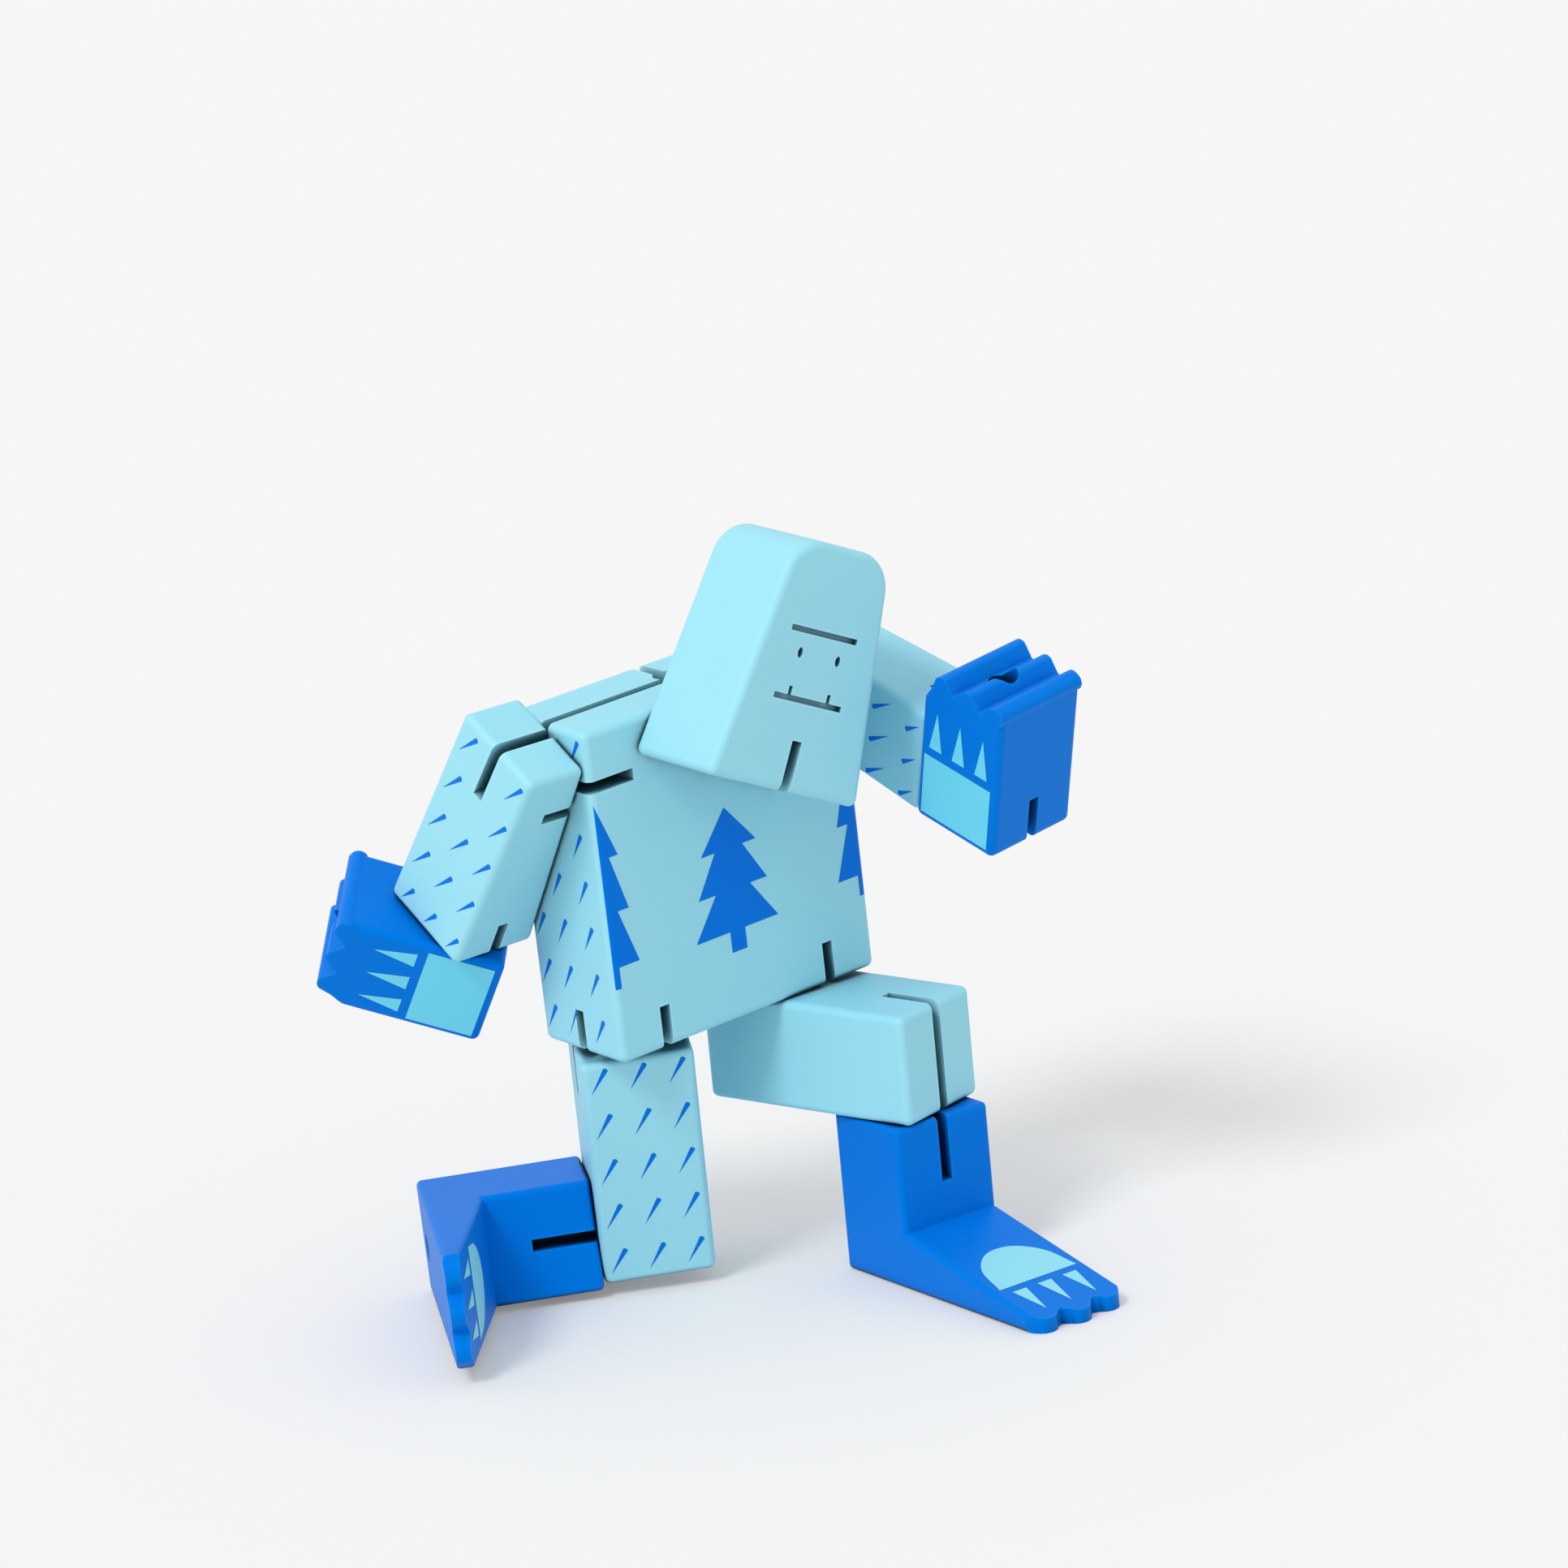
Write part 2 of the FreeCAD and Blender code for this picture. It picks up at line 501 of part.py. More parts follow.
def pieces(place):
    """Every node's solid in its block's own frame: name, block it belongs to, solid."""
    arm_cord, leg_cord, neck_cord = torso_cords(place)
    peg_foot = TORSO_HEIGHT - NECK_BORE_DEPTH
    back = NECK_BORE_SETBACK
    knot_z = HAND_LENGTH - HAND_KNOT_DEPTH + KNOT / 2
    found = [
        ("torso", "torso", torso_block()),
        ("torso_arm_cord", "torso", arm_cord),
        ("torso_leg_cord", "torso", leg_cord),
        ("torso_neck_cord", "torso", neck_cord),
        ("torso_neck_peg", "torso", rod((0, back, peg_foot), (0, back, peg_foot + PEG_LENGTH), BORE)),
        ("head", "head", head_block()),
        ("head_peg", "head", rod((0, 0, HEAD_BORE_DEPTH - PEG_LENGTH), (0, 0, HEAD_BORE_DEPTH), BORE)),
    ]
    for side, inner in (("right", 1), ("left", -1)):
        found.append((f"arm_{side}", f"arm_{side}", arm_block(inner)))
        found.append((f"hand_{side}", f"hand_{side}", hand_block()))
        found.append((f"hand_{side}_knot", f"hand_{side}", knot((0, 0, knot_z))))
        found.append((f"thigh_{side}", f"thigh_{side}", thigh_block()))
        found.append((f"lower_leg_{side}", f"lower_leg_{side}", lower_leg_block()))
        found.append((f"lower_leg_{side}_knot", f"lower_leg_{side}", knot((0, 0, KNOT / 2 + 1))))
    for block, (route, bend) in block_cords(place).items():
        slack = HIP_RIGHT_SLACK if block == "thigh_right" else CORD_GAP
        link, rest = strand(route, bend, slack)
        found.append((f"{block}_link", block, link))
        found.append((f"{block}_cord", block, rest))
    return found


def main():
    os.makedirs("parts", exist_ok=True)
    place = placements()
    placed = []
    for name, block, shape in pieces(place):
        shape.Placement = place[block] * shape.Placement
        if not shape.isValid() or shape.Volume < 1:
            raise ValueError(f"{name} is not a sound solid")
        placed.append((name, shape))
    bounds = placed[0][1].BoundBox
    for _, shape in placed:
        bounds.add(shape.BoundBox)
    to_origin = Placement(Vector(-bounds.Center.x, -bounds.Center.y, -bounds.ZMin), Rotation())
    print(f"moved by {to_origin.Base.x:.3f} {to_origin.Base.y:.3f} {to_origin.Base.z:.3f}")
    for name, shape in placed:
        shape.Placement = to_origin * shape.Placement
        shape.exportStep(f"parts/{name}.step")
        print(f"{name}: {len(shape.Solids)} solid, {shape.Volume:.0f} mm3, lowest {shape.BoundBox.ZMin:.2f}")


if __name__ == "__main__":
    main()
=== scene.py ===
"""The posable wooden block figure: paint, prints, cords, floor, light and camera.

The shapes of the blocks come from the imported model. This script gives them their paint, lays the printed
marks on their faces, and draws each elastic cord and knot. Block sizes are in millimetres, in the block's
own frame: x across, -y to the front, z up the block. Everything in the scene is in metres.
"""
import json
import logging
import math
from dataclasses import dataclass
from enum import Enum

import bpy
from mathutils import Matrix, Vector


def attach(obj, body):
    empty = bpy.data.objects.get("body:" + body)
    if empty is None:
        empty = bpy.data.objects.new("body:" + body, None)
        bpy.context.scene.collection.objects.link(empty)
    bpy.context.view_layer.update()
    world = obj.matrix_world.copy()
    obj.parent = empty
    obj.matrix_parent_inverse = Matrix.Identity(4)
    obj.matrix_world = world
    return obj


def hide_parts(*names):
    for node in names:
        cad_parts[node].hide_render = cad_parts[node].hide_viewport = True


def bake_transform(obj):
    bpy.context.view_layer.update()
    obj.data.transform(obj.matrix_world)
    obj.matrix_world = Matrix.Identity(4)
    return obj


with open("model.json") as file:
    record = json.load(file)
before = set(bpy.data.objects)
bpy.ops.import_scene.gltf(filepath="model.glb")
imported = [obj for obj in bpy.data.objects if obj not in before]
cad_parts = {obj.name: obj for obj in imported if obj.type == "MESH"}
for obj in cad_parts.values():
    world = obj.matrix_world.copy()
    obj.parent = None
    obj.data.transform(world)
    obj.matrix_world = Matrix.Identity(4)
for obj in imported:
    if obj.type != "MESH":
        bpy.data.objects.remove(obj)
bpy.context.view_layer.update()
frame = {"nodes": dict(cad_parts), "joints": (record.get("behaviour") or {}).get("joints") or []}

log = logging.getLogger("block_figure")

Socket = bpy.types.NodeSocket
Colour = tuple[float, float, float]
Point = tuple[float, float, float]
Corner = tuple[float, float, bool]
Route = tuple[list[Point], float]

MM = 0.001
PRINT_LIFT = 0.05 * MM      # a print lies this far above its block
CORD_RADIUS = 1.1 * MM
CORD_START = 0.25 * MM      # a cord is drawn from here behind the face where it enters a block
RUN_STEP = 1.0 * MM         # distance between points along a cord
BEND_STEPS = 6              # steps round a cord's bend
KNOT_STRAND = 0.78 * MM     # radius of the cord in a knot, where it is pulled thin
KNOT_SCALE = 0.56 * MM
KNOT_POINTS = 48
BEVEL_RESOLUTION = 3        # roundness of a cord's section
OUTLINE_RESOLUTION = 6      # steps between two points on a curved outline
EDGE_ROUND = 1.6            # rounding of a block's edges
KNEE_PIVOT = 9.0            # height of the knee's turn axis in a thigh
HAND_KNOT = (0, 0, 27.1)
FOOT_KNOT = (0, 0, 3.5)


class Side(Enum):
    """Which side of the figure a block belongs to, as the sign of x in its mirrored print."""
    RIGHT = 1
    LEFT = -1

    @property
    def word(self) -> str:
        """The side's name as the blocks use it."""
        return self.name.lower()


class Slot(Enum):
    """Material slots of the record."""
    LIGHT = "paint_light"
    DARK = "paint_dark"
    PEG = "peg"
    ELASTIC = "elastic"


@dataclass(frozen=True)
class PaintFinish:
    """Satin paint on smooth hardwood.

    Attributes:
        base: paint colour, linear.
        edge: colour where the rounded edges catch the light.
        cavity: colour of the painted shade down in the kerfs and the sawn face.
        roughness: mean roughness of the paint.
        specular: strength of its reflection.
        sheen_tint: colour of the reflection seen straight on.
        grain: how much the wood's grain shows through, from 0 to 1.
    """
    base: tuple[float, float, float]
    edge: tuple[float, float, float]
    cavity: tuple[float, float, float]
    roughness: float
    specular: float
    sheen_tint: tuple[float, float, float]
    grain: float


WHITE = (1.0, 1.0, 1.0)
SKY = (0.05, 0.5, 1.0)
LIGHT_PAINT = PaintFinish((0.30, 0.68, 0.80), (0.40, 0.77, 0.88), (0.0, 0.055, 0.08), 0.48, 0.3, WHITE, 0.5)
DARK_PAINT = PaintFinish((0.0, 0.175, 0.69), (0.0, 0.24, 0.80), (0.0, 0.004, 0.03), 0.45, 0.15, SKY, 0.6)
PRINT_BLUE = PaintFinish((0.0, 0.165, 0.70), (0.0, 0.17, 0.72), (0.0, 0.03, 0.20), 0.5, 0.25, SKY, 0.2)
PRINT_PALE = PaintFinish((0.15, 0.64, 0.82), (0.16, 0.65, 0.83), (0.04, 0.25, 0.35), 0.5, 0.25, WHITE, 0.2)
FOOT_PALE = PaintFinish((0.26, 0.68, 0.80), (0.27, 0.69, 0.81), (0.04, 0.25, 0.35), 0.5, 0.25, WHITE, 0.2)


class NodeBuilder:
    """Adds and joins the nodes of one shader tree."""

    def __init__(self, tree: bpy.types.NodeTree) -> None:
        """Starts from an empty tree."""
        self.tree = tree
        tree.nodes.clear()

    def add(self, kind: str, **settings) -> bpy.types.Node:
        """Adds a node.

        Args:
            kind: the node's Blender type.
            **settings: properties of the node.

        Returns:
            The new node.
        """
        node = self.tree.nodes.new(kind)
        for key, value in settings.items():
            setattr(node, key, value)
        return node

    def join(self, source: Socket, target: Socket) -> None:
        """Links two sockets."""
        self.tree.links.new(source, target)

    def math(self, operation: str, first: Socket, second: float) -> Socket:
        """Adds a clamped sum on a socket and a number, and returns its result socket.

        Args:
            operation: what it does with the two values.
            first: socket of the first value.
            second: the second value.

        Returns:
            The socket of the result, clamped to 0 and 1.
        """
        node = self.add("ShaderNodeMath", operation=operation, use_clamp=True)
        self.join(first, node.inputs[0])
        node.inputs[1].default_value = second
        return node.outputs[0]

    def mix(self, factor: Socket, first: Socket | Colour, second: Socket | Colour) -> Socket:
        """Mixes two colours.

        Args:
            factor: socket of the share of the second colour.
            first: socket or linear colour.
            second: socket or linear colour.

        Returns:
            The socket of the mixed colour.
        """
        node = self.add("ShaderNodeMix", data_type="RGBA")
        self.join(factor, node.inputs["Factor"])
        for socket, value in ((node.inputs[6], first), (node.inputs[7], second)):
            if isinstance(value, Socket):
                self.join(value, socket)
            else:
                socket.default_value = (*value, 1.0)
        return node.outputs[2]


class Effects:
    """Shader groups that several finishes share."""

    def __init__(self) -> None:
        """Builds every group once."""
        self.grain = self._grain()
        self.edge = self._edge()
        self.cavity = self._cavity()
        self.braid = self._braid()

    @staticmethod
    def _group(
        name: str, inputs: tuple[str, ...], outputs: tuple[str, ...],
    ) -> tuple[bpy.types.NodeTree, NodeBuilder, bpy.types.Node, bpy.types.Node]:
        """Makes an empty group with vector inputs and value outputs.

        Args:
            name: the group's name.
            inputs: names of its vector inputs.
            outputs: names of its value outputs.

        Returns:
            The group, its builder, its input node and its output node.
        """
        tree = bpy.data.node_groups.new(name, "ShaderNodeTree")
        build = NodeBuilder(tree)
        for text in inputs:
            tree.interface.new_socket(name=text, in_out="INPUT", socket_type="NodeSocketVector")
        for text in outputs:
            tree.interface.new_socket(name=text, in_out="OUTPUT", socket_type="NodeSocketFloat")
        return tree, build, build.add("NodeGroupInput"), build.add("NodeGroupOutput")

    def _grain(self) -> bpy.types.NodeTree:
        """Fine lines along a block's length, and broad uneven cover of the paint.

        Returns:
            The group.
        """
        tree, build, given, result = self._group("painted_grain", ("Vector",), ("Relief", "Cover"))
        stretch = build.add("ShaderNodeMapping")
        stretch.inputs["Scale"].default_value = (1.0, 1.0, 0.09)
        fibres = build.add("ShaderNodeTexNoise")
        fibres.inputs["Scale"].default_value = 1500.0
        fibres.inputs["Detail"].default_value = 4.0
        fibres.inputs["Roughness"].default_value = 0.6
        cover = build.add("ShaderNodeTexNoise")
        cover.inputs["Scale"].default_value = 55.0
        cover.inputs["Detail"].default_value = 2.0
        build.join(given.outputs["Vector"], stretch.inputs["Vector"])
        build.join(stretch.outputs["Vector"], fibres.inputs["Vector"])
        build.join(given.outputs["Vector"], cover.inputs["Vector"])
        build.join(fibres.outputs["Fac"], result.inputs["Relief"])
        build.join(cover.outputs["Fac"], result.inputs["Cover"])
        return tree

    def _edge(self) -> bpy.types.NodeTree:
        """Where the surface turns over an edge, as a mask for the painted highlight there.

        Returns:
            The group.
        """
        tree, build, _, result = self._group("rounded_edge", (), ("Mask",))
        soft = build.add("ShaderNodeBevel", samples=6)
        soft.inputs["Radius"].default_value = 1.3 * MM
        flat = build.add("ShaderNodeNewGeometry")
        dot = build.add("ShaderNodeVectorMath", operation="DOT_PRODUCT")
        build.join(soft.outputs["Normal"], dot.inputs[0])
        build.join(flat.outputs["Normal"], dot.inputs[1])
        invert = build.add("ShaderNodeMath", operation="SUBTRACT", use_clamp=True)
        invert.inputs[0].default_value = 1.0
        build.join(dot.outputs["Value"], invert.inputs[1])
        build.join(build.math("MULTIPLY", invert.outputs[0], 7.0), result.inputs["Mask"])
        return tree

    def _cavity(self) -> bpy.types.NodeTree:
        """Where a surface lies deep in a kerf, bore or sawn line, as a mask for painted shade there.

        Returns:
            The group.
        """
        tree, build, _, result = self._group("kerf_depth", (), ("Mask",))
        open_sky = build.add("ShaderNodeAmbientOcclusion", samples=6)
        open_sky.inputs["Distance"].default_value = 8.0 * MM
        ramp = build.add("ShaderNodeMapRange")
        ramp.inputs["From Min"].default_value = 0.52
        ramp.inputs["From Max"].default_value = 0.28
        build.join(open_sky.outputs["AO"], ramp.inputs["Value"])
        build.join(ramp.outputs["Result"], result.inputs["Mask"])
        return tree

    def _braid(self) -> bpy.types.NodeTree:
        """Small bumps of the braided cover of an elastic cord.

        Returns:
            The group.
        """
        tree, build, given, result = self._group("braided_cover", ("Vector",), ("Relief", "Fleck"))
        cells = build.add("ShaderNodeTexVoronoi")
        cells.inputs["Scale"].default_value = 1700.0
        flecks = build.add("ShaderNodeTexNoise")
        flecks.inputs["Scale"].default_value = 2300.0
        build.join(given.outputs["Vector"], cells.inputs["Vector"])
        build.join(given.outputs["Vector"], flecks.inputs["Vector"])
        build.join(cells.outputs["Distance"], result.inputs["Relief"])
        build.join(flecks.outputs["Fac"], result.inputs["Fleck"])
        return tree


class MaterialFactory:
    """Makes the finishes of the figure."""

    def __init__(self) -> None:
        """Builds the shared shader groups."""
        self.effects = Effects()

    def _use(self, build: NodeBuilder, tree: bpy.types.NodeTree) -> bpy.types.Node:
        """Adds a shared group to a material."""
        return build.add("ShaderNodeGroup", node_tree=tree)

    def _start(self, name: str) -> tuple[bpy.types.Material, NodeBuilder, bpy.types.Node]:
        """A new material with an output and a Principled shader.

        Args:
            name: the material's name.

        Returns:
            The material, its builder and its Principled shader.
        """
        material = bpy.data.materials.new(name)
        material.use_nodes = True
        build = NodeBuilder(material.node_tree)
        output = build.add("ShaderNodeOutputMaterial")
        shader = build.add("ShaderNodeBsdfPrincipled")
        build.join(shader.outputs["BSDF"], output.inputs["Surface"])
        return material, build, shader

    def _coordinates(self, build: NodeBuilder, place: Matrix) -> Socket:
        """Coordinates in a block's own frame, whose z runs along the grain.

        Args:
            build: the material's builder.
            place: where the block stands.

        Returns:
            The socket of the coordinates.
        """
        inverse = place.inverted()
        where = build.add("ShaderNodeTexCoord")
        turn = build.add("ShaderNodeMapping")
        turn.inputs["Location"].default_value = inverse.to_translation()
        turn.inputs["Rotation"].default_value = inverse.to_euler("XYZ")
        build.join(where.outputs["Object"], turn.inputs["Vector"])
        return turn.outputs["Vector"]

    def _bump(
        self, build: NodeBuilder, relief: Socket, shader: bpy.types.Node, strength: float, depth: float,
    ) -> None:
        """Lets a relief tilt the shader's normals.

        Args:
            build: the material's builder.
            relief: socket of the relief.
            shader: the shader.
            strength: how much it tilts them.
            depth: height of the relief, in metres.
        """
        bump = build.add("ShaderNodeBump")
        bump.inputs["Strength"].default_value = strength
        bump.inputs["Distance"].default_value = depth
        build.join(relief, bump.inputs["Height"])
        build.join(bump.outputs["Normal"], shader.inputs["Normal"])

    def paint(self, name: str, finish: PaintFinish, place: Matrix) -> bpy.types.Material:
        """Makes a painted-wood material.

        Args:
            name: the material's name.
            finish: colours and gloss.
            place: where the block stands, so that the grain runs along it.

        Returns:
            The material.
        """
        material, build, shader = self._start(name)
        grain = self._use(build, self.effects.grain)
        edge = self._use(build, self.effects.edge)
        cavity = self._use(build, self.effects.cavity)
        build.join(self._coordinates(build, place), grain.inputs["Vector"])
        cover = build.math("MULTIPLY", grain.outputs["Cover"], 0.22 * finish.grain)
        colour = build.mix(cover, finish.base, tuple(0.82 * c for c in finish.base))
        # Painted highlight: the paint turns lighter where the rounded edges catch the light.
        colour = build.mix(build.math("MULTIPLY", edge.outputs["Mask"], 0.5), colour, finish.edge)
        # Painted shade: the paint darkens deep in the kerfs, bores and sawn lines.
        colour = build.mix(build.math("MULTIPLY", cavity.outputs["Mask"], 0.95), colour, finish.cavity)
        build.join(colour, shader.inputs["Base Color"])
        uneven = build.add("ShaderNodeMapRange")
        uneven.inputs["To Min"].default_value = finish.roughness - 0.06
        uneven.inputs["To Max"].default_value = finish.roughness + 0.08
        build.join(grain.outputs["Relief"], uneven.inputs["Value"])
        build.join(uneven.outputs["Result"], shader.inputs["Roughness"])
        shader.inputs["Specular IOR Level"].default_value = finish.specular
        shader.inputs["Specular Tint"].default_value = (*finish.sheen_tint, 1.0)
        self._bump(build, grain.outputs["Relief"], shader, 0.35 * finish.grain, 0.12 * MM)
        return material

    def elastic(self) -> bpy.types.Material:
        """Dark elastic cord with a braided cover.

        Returns:
            The material.
        """
        material, build, shader = self._start("elastic_braid")
        where = build.add("ShaderNodeTexCoord")
        braid = self._use(build, self.effects.braid)
        build.join(where.outputs["Object"], braid.inputs["Vector"])
        fleck = build.math("POWER", braid.outputs["Fleck"], 2.2)
        build.join(build.mix(fleck, (0.015, 0.05, 0.065), (0.30, 0.47, 0.52)), shader.inputs["Base Color"])
        shader.inputs["Roughness"].default_value = 0.8
        self._bump(build, braid.outputs["Relief"], shader, 0.7, 0.25 * MM)
        return material

    def peg(self) -> bpy.types.Material:
        """Bare hardwood dowel.

        Returns:
            The material.
        """
        material, build, shader = self._start("bare_dowel")
        grain = self._use(build, self.effects.grain)
        build.join(self._coordinates(build, Matrix.Identity(4)), grain.inputs["Vector"])
        colour = build.mix(grain.outputs["Relief"], (0.42, 0.27, 0.14), (0.66, 0.47, 0.28))
        build.join(colour, shader.inputs["Base Color"])
        shader.inputs["Roughness"].default_value = 0.7
        self._bump(build, grain.outputs["Relief"], shader, 0.4, 0.2 * MM)
        return material

    def backdrop(self) -> bpy.types.Material:
        """Plain pale floor.

        Returns:
            The material.
        """
        material, _, shader = self._start("pale_floor")
        shader.inputs["Base Color"].default_value = (0.62, 0.62, 0.62, 1.0)
        shader.inputs["Roughness"].default_value = 0.9
        shader.inputs["Specular IOR Level"].default_value = 0.0
        shader.inputs["Emission Color"].default_value = (1.0, 1.0, 1.0, 1.0)
        shader.inputs["Emission Strength"].default_value = 0.20
        return material


# --- frames of the blocks --------------------------------------------------------------------------
JOINTS = {joint["name"]: joint for joint in frame["joints"]}


def joint_axis(name: str) -> Vector:
    """Direction of a joint's axis."""
    return Vector(JOINTS[name]["axis"]).normalized()


def joint_point(name: str) -> Vector:
    """A point on a joint's axis, in metres."""
    return Vector(JOINTS[name]["pos_m"])


def place_from(x: Vector, y: Vector, point: Point, at: Vector) -> Matrix:
    """A block's place.

    Args:
        x: direction of the block's x.
        y: direction of the block's y.
        point: a point of the block, in mm.
        at: where that point is, in metres.

    Returns:
        The matrix from the block's frame, in metres, to the scene.
    """
    turn = Matrix((x, y, x.cross(y))).transposed()
    return Matrix.Translation(at - turn @ (Vector(point) * MM)) @ turn.to_4x4()


@dataclass
class Sizes:
    """Sizes of the blocks that the prints and cords depend on, in mm."""
    torso_width: float = 68.6
    torso_depth: float = 26.2
    neck_height: float = 63.7
    head_depth: float = 25.0
    arm_length: float = 50.3
    arm_top: float = 14.5
    arm_bottom: float = 20.8
    hand_width: float = 22.5
    hand_depth: float = 23.2
    leg_width: float = 24.4
    thigh_depth: float = 24.0
    thigh_length: float = 52.9
    shin_depth: float = 21.6
    shin_height: float = 35.3
    instep_height: float = 12.4
    foot_length: float = 65.0
    toe_thickness: float = 3.0
    seat_gap: float = 0.12

    @property
    def taper(self) -> float:
        """How far an arm's side leans, in radians."""
        return math.atan((self.arm_bottom - self.arm_top) / 2 / self.arm_length)


SIZES = Sizes()


def torso_place() -> Matrix:
    """The torso's place, from the neck and hip joints.

    Returns:
        The matrix from the torso's frame to the scene.
    """
    y, z = joint_axis("neck_turn"), joint_axis("hip_right_turn")
    point = (0, -SIZES.torso_depth / 2 - SIZES.seat_gap, SIZES.neck_height)
    return place_from(y.cross(z), y, point, joint_point("neck_turn"))


def head_place() -> Matrix:
    """The head's place, from its neck joint."""
    point = (0, SIZES.head_depth / 2 - EDGE_ROUND, EDGE_ROUND)
    return place_from(joint_axis("neck_rock"), joint_axis("neck_turn"), point, joint_point("neck_rock"))


def arm_place(side: Side) -> Matrix:
    """An arm's place, from its shoulder joint.

    Args:
        side: which arm.

    Returns:
        The matrix from the arm's frame to the scene.
    """
    y, out = joint_axis(f"shoulder_{side.word}_rock"), joint_axis(f"shoulder_{side.word}_turn")
    x = out * math.cos(SIZES.taper) - out.cross(y) * math.sin(SIZES.taper)
    point = (SIZES.arm_top / 2 - EDGE_ROUND, 0, -EDGE_ROUND)
    return place_from(x, y, point, joint_point(f"shoulder_{side.word}_rock"))


def hand_place(side: Side) -> Matrix:
    """A hand's place, from its wrist joint.

    Args:
        side: which hand.

    Returns:
        The matrix from the hand's frame to the scene.
    """
    x = joint_axis(f"wrist_{side.word}_turn") * side.value
    y = joint_axis(f"wrist_{side.word}_rock") * -side.value
    point = (side.value * (SIZES.hand_width / 2 - EDGE_ROUND), 0, EDGE_ROUND)
    return place_from(x, y, point, joint_point(f"wrist_{side.word}_rock"))


def thigh_place(side: Side) -> Matrix:
    """A thigh's place, from its hip and knee joints.

    Args:
        side: which thigh.

    Returns:
        The matrix from the thigh's frame to the scene.
    """
    rock, top = f"hip_{side.word}_rock", SIZES.thigh_length - EDGE_ROUND
    if side is Side.LEFT:
        point = (0, EDGE_ROUND - SIZES.thigh_depth / 2, top)
        return place_from(joint_axis(rock), -joint_axis("hip_left_turn"), point, joint_point(rock))
    y = joint_axis(rock)
    across = SIZES.leg_width / 2 - EDGE_ROUND
    to_top = joint_point(rock) - joint_point("knee_right_turn")
    slant = (to_top - y * to_top.dot(y)).normalized()
    lean = math.atan(across / (top - KNEE_PIVOT))
    x = slant * math.sin(lean) - slant.cross(y) * math.cos(lean)
    return place_from(x, y, (across, 0, top), joint_point(rock))


def lower_leg_place(side: Side) -> Matrix:
    """A lower leg's place, from its knee joint.

    Args:
        side: which lower leg.

    Returns:
        The matrix from the lower leg's frame to the scene.
    """
    x, z = joint_axis(f"knee_{side.word}_rock"), joint_axis(f"knee_{side.word}_turn")
    rounding = 0.75 * EDGE_ROUND
    point = (0, SIZES.shin_depth / 2 - rounding, SIZES.shin_height - rounding)
    return place_from(x, z.cross(x), point, joint_point(f"knee_{side.word}_rock"))


# --- modelling helpers -------------------------------------------------------------------------------
def make_active(obj: bpy.types.Object) -> None:
    """Selects only this object.

    Args:
        obj: the object.
    """
    bpy.ops.object.select_all(action="DESELECT")
    obj.select_set(True)
    bpy.context.view_layer.objects.active = obj


def to_mesh(curve: bpy.types.Curve, name: str) -> bpy.types.Object:
    """Makes a mesh object of a curve.

    Args:
        curve: the curve.
        name: the object's name.

    Returns:
        The mesh object.
    """
    obj = bpy.data.objects.new(name, curve)
    bpy.context.scene.collection.objects.link(obj)
    make_active(obj)
    bpy.ops.object.convert(target="MESH")
    return bpy.context.view_layer.objects.active


def set_material(obj: bpy.types.Object, material: bpy.types.Material) -> None:
    """Gives an object one finish.

    Args:
        obj: the object.
        material: its only material.
    """
    obj.data.materials.clear()
    obj.data.materials.append(material)


@dataclass
class Outline:
    """A closed outline in a face's own two directions, in mm.

    Attributes:
        points: (across, up, round) for each point, where round is False at a sharp corner.
    """
    points: list[Corner]

    def moved(self, across: float, up: float) -> "Outline":
        """The outline shifted within its face."""
        return Outline([(a + across, b + up, c) for a, b, c in self.points])

    def scaled(self, across: float, up: float) -> "Outline":
        """The outline scaled, or mirrored by a negative number."""
        return Outline([(a * across, b * up, c) for a, b, c in self.points])

    def draw(self, curve: bpy.types.Curve) -> None:
        """Adds the outline to a flat curve.

        Args:
            curve: the curve.
        """
        spline = curve.splines.new("BEZIER")
        spline.bezier_points.add(len(self.points) - 1)
        spline.use_cyclic_u = True
        for point, (across, up, is_round) in zip(spline.bezier_points, self.points):
            point.co = (across, up, 0)
            kind = "AUTO" if is_round else "VECTOR"
            point.handle_left_type = kind
            point.handle_right_type = kind


